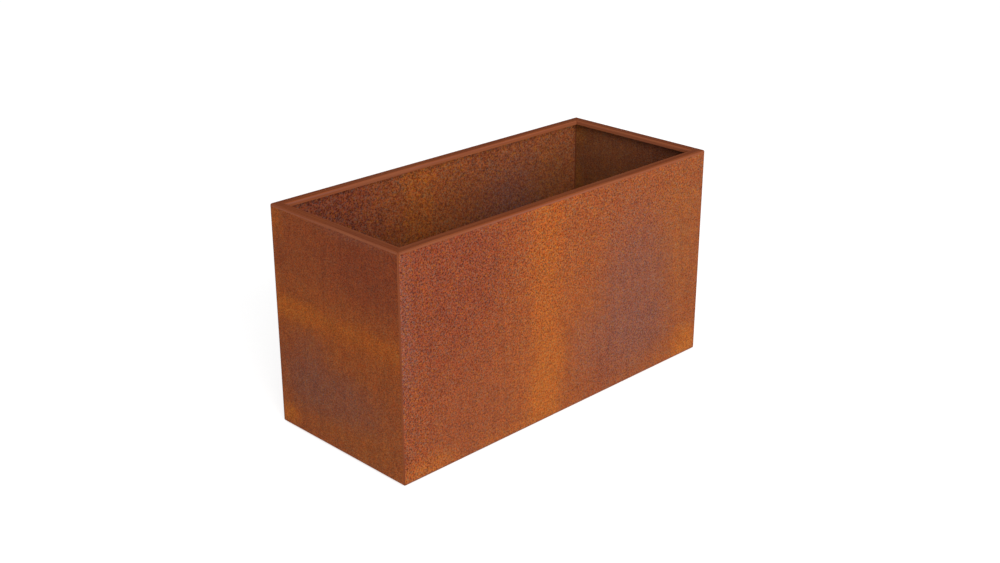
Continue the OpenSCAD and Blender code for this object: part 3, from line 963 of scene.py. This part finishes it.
def stem():
    """Ball, neck, thread and a hexagon socket in the top."""
    profile = []
    for i in range(1, 9):
        angle = math.pi / 2 * i / 8
        profile.append((BALL_R * math.sin(angle), BALL_Z - BALL_R * math.cos(angle)))
    for i in range(1, 5):
        angle = math.radians(48) * i / 4
        profile.append((BALL_R * math.cos(angle), BALL_Z + BALL_R * math.sin(angle)))
    profile += [(NECK_R, BALL_Z + 5.2 * MM), (NECK_R, THREAD_LOW - 0.8 * MM)]
    points = []
    for r, z in profile:
        points += ring_points(r, z)
    points += threaded(M12_R, M12_DEPTH, M12_PITCH, THREAD_LOW, STEM_TOP)
    for scale, z in ((1.08, STEM_TOP), (1.0, STEM_TOP - 0.4 * MM), (1.0, STEM_TOP - SOCKET_DEPTH)):
        points += ring_points(lambda angle: scale * SOCKET_AF / 2 / math.cos(hexagon_turn(angle)), z)
    faces = grid_faces(len(points) // THREAD_SEGMENTS, THREAD_SEGMENTS)
    last = len(points) - THREAD_SEGMENTS
    points += [(0, 0, BALL_Z - BALL_R), (0, 0, STEM_TOP - SOCKET_DEPTH - 1.2 * MM)]
    for j in range(THREAD_SEGMENTS):
        k = (j + 1) % THREAD_SEGMENTS
        faces.append([len(points) - 2, k, j])
        faces.append([len(points) - 1, last + j, last + k])
    return surface(points, faces)


def pad():
    """A pressed foot: flat rim, dished skirt and a collar crimped over the stem's ball."""
    rim_r = FOOT_R
    socket_r = BALL_R + 0.08 * MM
    mouth_r = 4.8 * MM
    outline = [(rim_r - 0.6 * MM, SOLE_T), (rim_r, SOLE_T + 0.6 * MM), (rim_r, SOLE_T + 2.2 * MM)]
    outline += [(rim_r - 0.8 * MM, SOLE_T + 2.9 * MM), (rim_r - 3 * MM, SOLE_T + 3.0 * MM)]
    outline += [(14.5 * MM, 7.2 * MM), (12.2 * MM, 8.0 * MM), (11.1 * MM, 8.7 * MM)]
    outline += [(10.6 * MM, 11.0 * MM), (10.1 * MM, 12.9 * MM)]
    outline += [(9.2 * MM, PAD_TOP - 0.25 * MM), (8.2 * MM, PAD_TOP)]
    outline += [(mouth_r + 0.9 * MM, PAD_TOP), (mouth_r, PAD_TOP - 0.8 * MM)]
    start = math.acos(mouth_r / socket_r)
    for i in range(9):
        angle = start - (start + math.radians(80)) * i / 8
        outline.append((socket_r * math.cos(angle), BALL_Z + socket_r * math.sin(angle)))
    outline += [(1.0 * MM, SOLE_T)]
    return turned(outline)


def sole():
    """A rubber disc with a rounded edge and ring grooves underneath."""
    radius = FOOT_R
    groove, depth = 1.2 * MM, 0.7 * MM
    outline = [(0, 0)]
    for i in range(4):
        r = 5 * MM + i * 4.6 * MM
        outline += [(r, 0), (r + 0.25 * groove, depth), (r + 0.75 * groove, depth), (r + groove, 0)]
    outline += [(radius - 0.7 * MM, 0), (radius, 0.7 * MM), (radius, SOLE_T - 0.3 * MM)]
    outline += [(radius - 0.3 * MM, SOLE_T), (0, SOLE_T)]
    return turned(outline)


def foot_nuts(low, high, turn):
    """A hexagon nut at each foot, between two heights, turned by so many degrees."""
    for corner in CORNERS:
        centre = foot_centre(corner)
        matrix = Matrix.Translation((centre.x, centre.y, low)) @ Matrix.Rotation(math.radians(turn), 4, "Z")
        yield placed(hexagonal(M12_AF, high - low, bore=M12_BORE), matrix)


weld_nuts = foot_nuts(NUT_LOW, LOCK_LOW, 0)
lock_nuts = foot_nuts(LOCK_LOW, LOCK_HIGH, 15)
piece("foot_weld_nuts", weld_nuts, "zinc", "root", ["foot_nuts"])
piece("foot_lock_nuts", lock_nuts, "zinc", "root", ["lock_nuts"])

for corner in CORNERS:
    centre = foot_centre(corner)
    under = Matrix.Translation((centre.x, centre.y, 0))
    new_stem, new_pad, new_sole = ([placed(part, under)] for part in (stem(), pad(), sole()))
    body = "foot_" + corner
    piece("threaded_stem_" + corner, new_stem, "stem", "stem_" + corner, ["foot_stem_" + corner])
    piece("pressed_pad_" + corner, new_pad, "pad", body, ["foot_pad_" + corner])
    piece("rubber_sole_" + corner, new_sole, "rubber", body, ["foot_sole_" + corner])

# ---- Stage: floor, light and camera ----

STAGE_REACH = 60.0
KEY_PLACE = (-2.8, -7.4, 3.7)
KEY_AIM = (0, 0, 0.4)
KEY_WIDTH = 6.0
KEY_HEIGHT = 5.5
KEY_POWER = 935
ROOM_LIGHT = 0.62
CAMERA_PLACE = (-3.0387, -3.0530, 2.1354 + BASE_Z)
CAMERA_HEADING = 45.13
CAMERA_TILT = 22.23
CAMERA_LENS = 49.83


def stage_floor():
    """Pale floor that glows a little, as a lit studio floor does. Under the box the glow fades out: a
    painted shadow beneath the box.
    """
    shader = Shader("pale_floor")
    tone = shader.noise(shader.place, 0.6, detail=2.0)
    colour = shader.ramp(tone, (0.3, grey(0.41)), (0.7, grey(0.43)))
    material = shader.finish(colour, 0.9, specular=0.1)
    shader.bsdf.inputs["Emission Color"].default_value = grey(1)
    x, y, _ = shader.split(shader.place)
    past_end = shader.math("SUBTRACT", shader.math("ABSOLUTE", x), LENGTH / 2)
    past_side = shader.math("SUBTRACT", shader.math("ABSOLUTE", y), WIDTH / 2)
    outside = shader.math("MAXIMUM", past_end, past_side)
    # Painted shadow: the glow fades to almost nothing under the box.
    glow = shader.smooth(outside, -80 * MM, -10 * MM, 0.03, 0.72)
    shader.feed(shader.bsdf.inputs["Emission Strength"], glow)
    far = STAGE_REACH
    corners = [(-far, -far, 0), (far, -far, 0), (far, far, 0), (-far, far, 0)]
    mesh = bpy.data.meshes.new("floor")
    mesh.from_pydata(corners, [], [(0, 1, 2, 3)])
    mesh.materials.append(material)
    floor = bpy.data.objects.new("floor", mesh)
    bpy.context.scene.collection.objects.link(floor)


def softbox(name, place, target, width, height, power):
    light = bpy.data.lights.new(name, "AREA")
    light.shape = "RECTANGLE"
    light.size = width
    light.size_y = height
    light.energy = power
    obj = bpy.data.objects.new(name, light)
    obj.location = place
    obj.rotation_euler = (Vector(target) - Vector(place)).to_track_quat("-Z", "Y").to_euler()
    bpy.context.scene.collection.objects.link(obj)


stage_floor()
softbox("key_softbox", KEY_PLACE, KEY_AIM, KEY_WIDTH, KEY_HEIGHT, KEY_POWER)

world = bpy.data.worlds.new("soft_studio")
bpy.context.scene.world = world
world.use_nodes = True
background = world.node_tree.nodes["Background"]
background.inputs["Color"].default_value = grey(1)
background.inputs["Strength"].default_value = ROOM_LIGHT
bpy.context.scene.view_settings.view_transform = "Standard"

camera_data = bpy.data.cameras.new("camera")
camera_data.sensor_width = 36
camera_data.lens = CAMERA_LENS
camera = bpy.data.objects.new("camera", camera_data)
camera.location = CAMERA_PLACE
camera.rotation_euler = (math.radians(90 - CAMERA_TILT), 0, math.radians(CAMERA_HEADING - 90))
bpy.context.scene.collection.objects.link(camera)
bpy.context.scene.camera = camera
